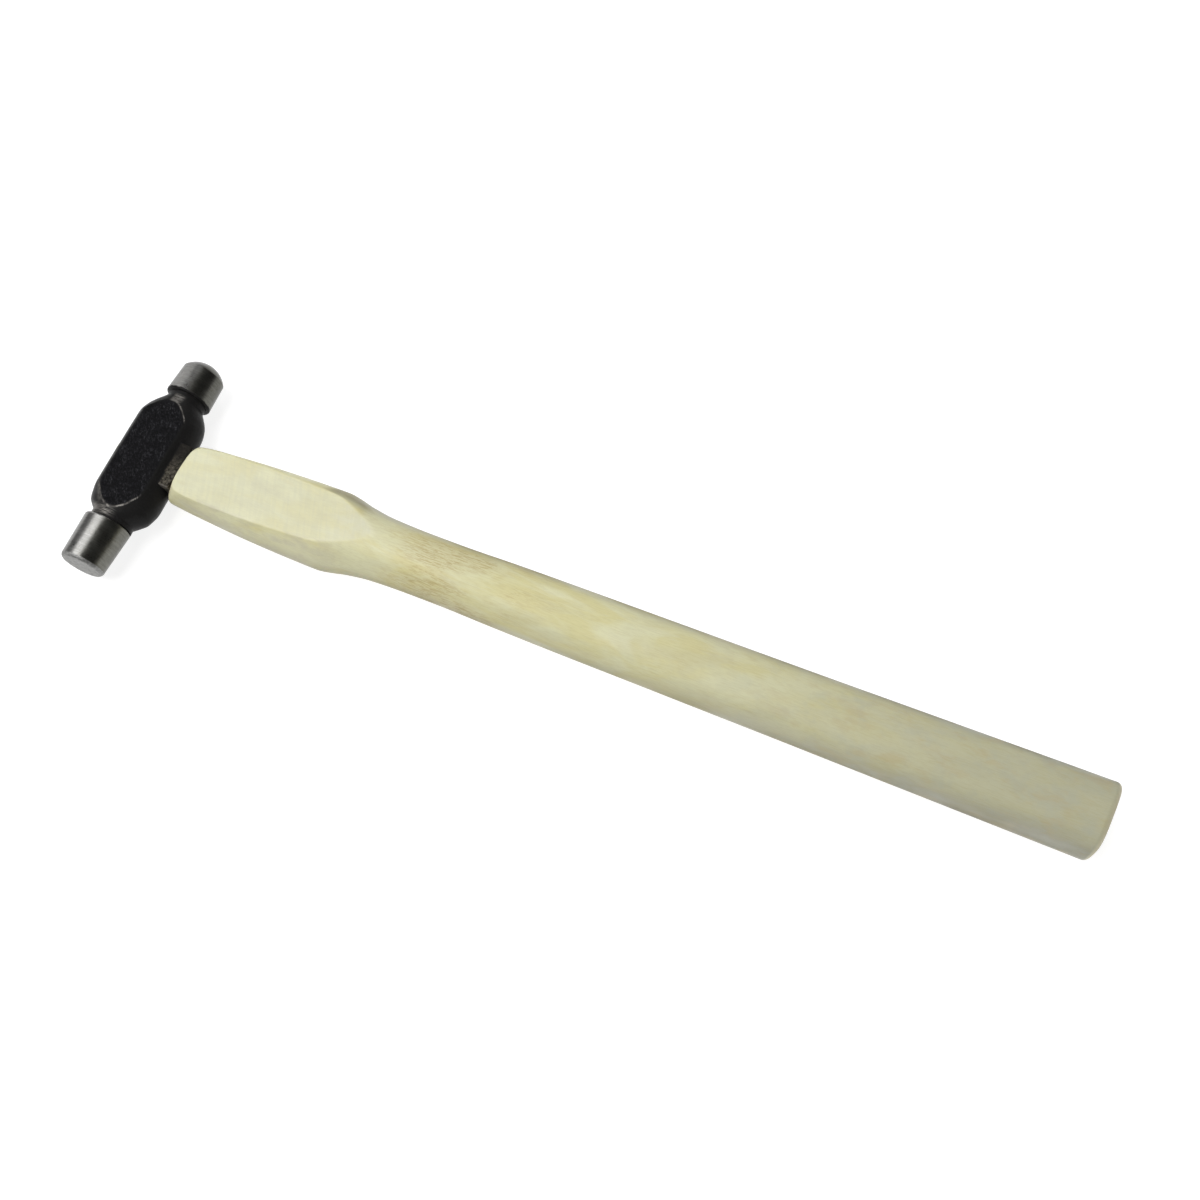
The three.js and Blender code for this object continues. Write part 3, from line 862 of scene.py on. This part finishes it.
def wood_pores(n, x, off_flat):
    """Where pores are thick, mostly at the waist, and the short dark pores themselves."""
    pores = n.noise(1.0, 3, 0.6, at=n.stretched(0.34, 3.0, 3.0), distortion=0.7)
    patches = n.noise(1.0, 2, 0.5, at=n.stretched(0.05, 0.14, 0.14))
    waist = n.times(n.band(x, 72, 96, 104, 132), n.step(patches, 0.30, 0.55))
    zone = n.math("ADD", waist, n.step(patches, 0.56, 0.72, 0, 0.22), clamp=True)
    zone = n.times(zone, off_flat)
    return zone, n.times(n.step(pores, 0.46, 0.60), zone)


def flat_finish(n, x, flat, sanding, color):
    """Cross-sanded flats, with painted highlights: pale patches at their rounded tips and a pale
    line along their borders.
    """
    scratches = n.times(n.step(sanding, 0.44, 0.58), flat, 0.9)
    color = n.mix(scratches, color, (0.46, 0.46, 0.335))
    tip = n.step(n.noise(0.5, 3, 0.6), 0.38, 0.58, 0.2, 1.0)
    # painted highlight: pale patches near the flats' rounded tips
    color = n.mix(n.times(flat, n.step(x, 57, 66), tip), color, (0.64, 0.63, 0.56))
    color = n.tint(flat, color, (0.92, 0.925, 0.895))
    # painted highlight: a pale line along the flats' borders
    return n.mix(n.times(n.mask("crease"), 0.3), color, (0.78, 0.77, 0.60))


def painted_side_shade(n, x, upward, endward, ball_side):
    """Painted shade on the handle's long sides and shoulder, by the way that the surface faces."""
    far_edge = n.times(n.step(upward, 0.45, 0.97, 0.85, 0.0), n.step(x, 45, 70, 0.25, 1.0))
    shoulder = n.times(n.band(x, 52, 59, 66, 76), n.step(upward, 0.72, 0.95, 0.8, 0.0))
    far_side = n.math("MAXIMUM", far_edge, shoulder)
    near_edge = n.times(n.step(upward, -0.4, 0.95, 0.62, 0.0), n.step(x, 100, 220, 0.75, 1.0))
    near_side = n.math("ADD", near_edge, n.step(upward, -0.45, 0.2, 0.36, 0.0))
    side = n.blend(ball_side, near_side, far_side)
    return n.times(side, n.step(upward, -0.9, -0.5), n.step(endward, 0.15, 0.5, 1, 0))


def butt_darkening_and_smudges(n, x, color):
    """Darker towards the butt, with smudges and tan patches where the hand goes."""
    # the colour darkens towards the butt
    color = n.mix(n.step(x, 130, 280, 0.0, 0.25), color, (0.10, 0.09, 0.07))
    handled = n.step(x, 150, 230)
    smudges = n.step(n.noise(0.16, 4, 0.6), 0.46, 0.66, 0.0, 0.30)
    color = n.mix(n.times(smudges, handled), color, (0.40, 0.42, 0.36))
    tan = n.noise(0.22, 3, 0.6, at=n.stretched(0.5, 1.0, 1.0))
    tan = n.times(n.step(tan, 0.50, 0.68, 0.0, 0.35), handled)
    return n.mix(tan, color, (0.47, 0.38, 0.20))


def neck_strip(n, x, off_flat, ball_side, color):
    """Greyish mottle beside the flats, on the striking face's side; its darkening is partly
    painted shade.
    """
    strip = n.math("SUBTRACT", off_flat, ball_side, clamp=True)
    mottle = n.noise(0.3, 4, 0.65, at=n.stretched(0.4, 1.0, 1.0))
    mottle = n.step(mottle, 0.40, 0.66, 0.05, 0.50)
    strip = n.times(n.band(x, 14, 20, 56, 74), strip, mottle)
    return n.mix(strip, color, (0.45, 0.42, 0.33))


def handle_material():
    """Pale hardwood: yellow and greyish patches, short dark pores, cross-sanded flats."""
    n = Nodes("pale_hardwood")
    x, y = n.axis("X"), n.axis("Y")
    flat = n.mask("flat")
    off_flat = n.math("SUBTRACT", 1.0, flat)
    fibres = n.noise(1.0, 4, 0.65, at=n.stretched(0.35, 3.2, 3.2), distortion=0.3)
    sanding = n.noise(1.0, 2, 0.5, at=n.turned(22, 1.2, 0.10, 0.10))
    pore_zone, pores = wood_pores(n, x, off_flat)

    color = wood_figure(n, x, y, flat)
    fibre_depth = n.times(n.step(fibres, 0.40, 0.72, 0, 0.30), n.blend(flat, 1.0, 0.12))
    color = n.mix(fibre_depth, color, (0.47, 0.42, 0.22))
    color = n.mix(n.times(pore_zone, 0.34), color, (0.57, 0.48, 0.19))
    color = n.mix(n.times(pores, 0.58), color, (0.38, 0.27, 0.09))
    color = flat_finish(n, x, flat, sanding, color)

    normal = n.add("ShaderNodeSeparateXYZ")
    n.link(n.add("ShaderNodeTexCoord").outputs["Normal"], normal.inputs[0])
    upward, endward = normal.outputs["Z"], n.math("ABSOLUTE", normal.outputs["X"])
    ball_side = n.step(normal.outputs["Y"], -0.1, 0.1)
    side_shade_share = painted_side_shade(n, x, upward, endward, ball_side)
    # painted shade: the handle's long sides and its shoulder are darkened by which way they face
    color = n.tint(side_shade_share, color, (0.34, 0.32, 0.34))
    color = butt_darkening_and_smudges(n, x, color)
    # grey mottle beside the flats, partly painted shade on the side facing away from the light
    color = neck_strip(n, x, off_flat, ball_side, color)
    # end grain with rings, and painted light that keeps the rounded ends, turned away from the key
    # light, from going darker
    growth = n.noise(1.0, 4, 0.6, at=n.stretched(0.05, 0.9, 3.0), distortion=0.8)
    end_grain_and_painted_light = n.mix(growth, (0.60, 0.57, 0.40), (0.50, 0.45, 0.28))
    color = n.mix(n.step(endward, 0.2, 0.7), color, end_grain_and_painted_light)

    n.put(color, n.shader.inputs["Base Color"])
    patches = n.noise(1.0, 3, 0.5, at=n.stretched(0.06, 0.14, 0.14))
    n.put(n.step(patches, 0.38, 0.64, 0.36, 0.6), n.shader.inputs["Roughness"])
    n.shader.inputs["Specular IOR Level"].default_value = 0.42
    height = n.math("SUBTRACT", n.times(fibres, -0.5), n.times(pores, 0.5))
    bumped = n.bump(n.times(sanding, flat), 0.03, normal=n.bump(height, 0.05))
    n.link(bumped, n.shader.inputs["Normal"])
    return n.material


def wedge_wood_material():
    """Browner hardwood with its end grain showing at the crown."""
    n = Nodes("wedge_hardwood")
    fibres = n.noise(1.0, 5, 0.65, at=n.stretched(0.3, 1.6, 6.0), distortion=0.4)
    rays = n.step(n.noise(1.0, 3, 0.6, at=n.stretched(2.0, 0.7, 5.0)), 0.55, 0.75)
    color = n.mix(n.step(fibres, 0.3, 0.7), (0.44, 0.33, 0.17), (0.33, 0.23, 0.11))
    color = n.mix(n.times(rays, 0.4), color, (0.2, 0.13, 0.06))
    n.put(color, n.shader.inputs["Base Color"])
    n.put(n.step(fibres, 0.3, 0.7, 0.55, 0.75), n.shader.inputs["Roughness"])
    n.link(n.bump(fibres, 0.04), n.shader.inputs["Normal"])
    return n.material


def wedge_steel_material():
    """Mild steel strip with draw marks and a little brown film."""
    n = Nodes("strip_steel")
    marks = n.noise(1.0, 4, 0.7, at=n.stretched(0.5, 6.0, 6.0))
    film = n.step(n.noise(0.9, 4, 0.6), 0.45, 0.7)
    color = n.mix(marks, (0.34, 0.33, 0.32), (0.5, 0.49, 0.47))
    color = n.mix(n.times(film, 0.4), color, (0.2, 0.13, 0.08))
    n.put(color, n.shader.inputs["Base Color"])
    n.put(n.step(film, 0, 1, 0.3, 0.55), n.shader.inputs["Roughness"])
    n.shader.inputs["Metallic"].default_value = 1.0
    n.link(n.bump(marks, 0.02), n.shader.inputs["Normal"])
    return n.material


def glowing_paper(name, scale, dark, light, glow):
    """Matt pale sheet that gives off a little light of its own, for the floor and the wall."""
    n = Nodes(name)
    color = n.mix(n.noise(scale, 2), (dark, dark, dark), (light, light, light))
    n.put(color, n.shader.inputs["Base Color"])
    n.shader.inputs["Specular IOR Level"].default_value = 0.0
    n.shader.inputs["Emission Color"].default_value = (1, 1, 1, 1)
    n.shader.inputs["Emission Strength"].default_value = glow
    return n


# ---- Studio --------------------------------------------------------------------------------

def studio_object(name, vertices, faces, material):
    """Mesh object of the studio, in the part's frame and in metres."""
    mesh = bpy.data.meshes.new(name)
    mesh.from_pydata(vertices, [], faces)
    obj = bpy.data.objects.new(name, mesh)
    bpy.context.scene.collection.objects.link(obj)
    set_material(obj, material)
    return obj


def build_floor():
    half = FLOOR_HALF
    corners = [(-half, -half, 0), (half, -half, 0), (half, half, 0), (-half, half, 0)]
    paper = glowing_paper("studio_floor", 0.05, 0.35, 0.37, FLOOR_GLOW)
    paper.shader.inputs["Roughness"].default_value = 0.9
    floor = studio_object("floor", corners, [(0, 1, 2, 3)], paper.material)


def build_backdrop():
    """Pale wall round the floor's far edge, seen by the camera only, so it lights nothing."""
    around = BACKDROP_AROUND
    ring = [(BACKDROP_RADIUS * c, BACKDROP_RADIUS * s) for c, s in zip(*circle(around))]
    corners = [(*p, 0) for p in ring] + [(*p, BACKDROP_HEIGHT) for p in ring]
    faces = [(j, (j + 1) % around, around + (j + 1) % around, around + j) for j in range(around)]
    paper = glowing_paper("backdrop_paper", 0.02, 0.10, 0.12, BACKDROP_GLOW)
    wall = studio_object("backdrop", corners, faces, paper.material)
    wall.visible_diffuse = wall.visible_glossy = False
    wall.visible_transmission = wall.visible_shadow = False


def area_light(name, toward, distance, size, watts, in_reflections=True):
    """Soft rectangular light that shines on the head from a direction in the hammer's frame.

    size is its extent (round the head axis, along the head axis).
    """
    light = bpy.data.lights.new(name, "AREA")
    light.shape = "RECTANGLE"
    light.size, light.size_y = size
    light.energy = watts
    lamp = bpy.data.objects.new(name, light)
    lamp.visible_glossy = in_reflections
    back = Vector(toward).normalized()
    up = (Vector((0, 1, 0)) - back * back.y).normalized()
    turn = Matrix((up.cross(back), up, back)).transposed().to_4x4()
    lamp.matrix_world = TO_WORLD @ Matrix.Translation(back * distance) @ turn
    bpy.context.scene.collection.objects.link(lamp)


def build_lights():
    """Broad key above the head, soft lights from the ball's side and the left, one at the butt.

    The side towards the handle is left dark, for the dark band on the steel, so the light at the
    butt stays out of reflections.
    """
    area_light("key", (-0.375, -0.22, 0.90), 1.0, (0.80, 1.05), 11.2)
    area_light("fill", (-0.13, 0.72, 0.68), 1.2, (0.5, 0.4), 2.5)
    area_light("left_wall", (-0.790, 0.43, 0.438), 1.4, (1.3, 0.35), 2.9)
    area_light("butt_side", (0.93, -0.05, 0.36), 1.0, (0.3, 0.4), 1.6, in_reflections=False)
    world = bpy.data.worlds.new("room")
    bpy.context.scene.world = world
    world.use_nodes = True
    background = world.node_tree.nodes["Background"]
    background.inputs["Color"].default_value = (1, 1, 1, 1)
    background.inputs["Strength"].default_value = ROOM_GLOW


def build_camera():
    """Camera above and in front of the head, looking down at the middle of the hammer."""
    camera_at, look_at = Vector(CAMERA_AT) * MM, Vector(CAMERA_LOOKS_AT) * MM
    data = bpy.data.cameras.new("camera")
    data.sensor_width = SENSOR
    data.lens = LENS
    data.clip_start = 0.01
    camera = bpy.data.objects.new("camera", data)
    turn = (look_at - camera_at).to_track_quat("-Z", "Y").to_matrix().to_4x4()
    camera.matrix_world = TO_WORLD @ Matrix.Translation(camera_at) @ turn
    bpy.context.scene.collection.objects.link(camera)
    bpy.context.scene.camera = camera


# ---- Scene ---------------------------------------------------------------------------------

build_camera()
build_floor()
build_backdrop()
build_lights()
bpy.context.scene.view_settings.view_transform = "Standard"

parts = [
    (build_head(), head_material(), "head_steel", "hammer_head"),
    (build_handle(), handle_material(), "handle_wood", "handle"),
    (build_wood_wedge(), wedge_wood_material(), "wedge_wood", "wood_wedge"),
    (build_steel_wedge(), wedge_steel_material(), "wedge_steel", "steel_wedge"),
]
for piece, material, slot_name, node in parts:
    set_material(piece, material)
    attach(piece, "root")
    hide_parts(node)
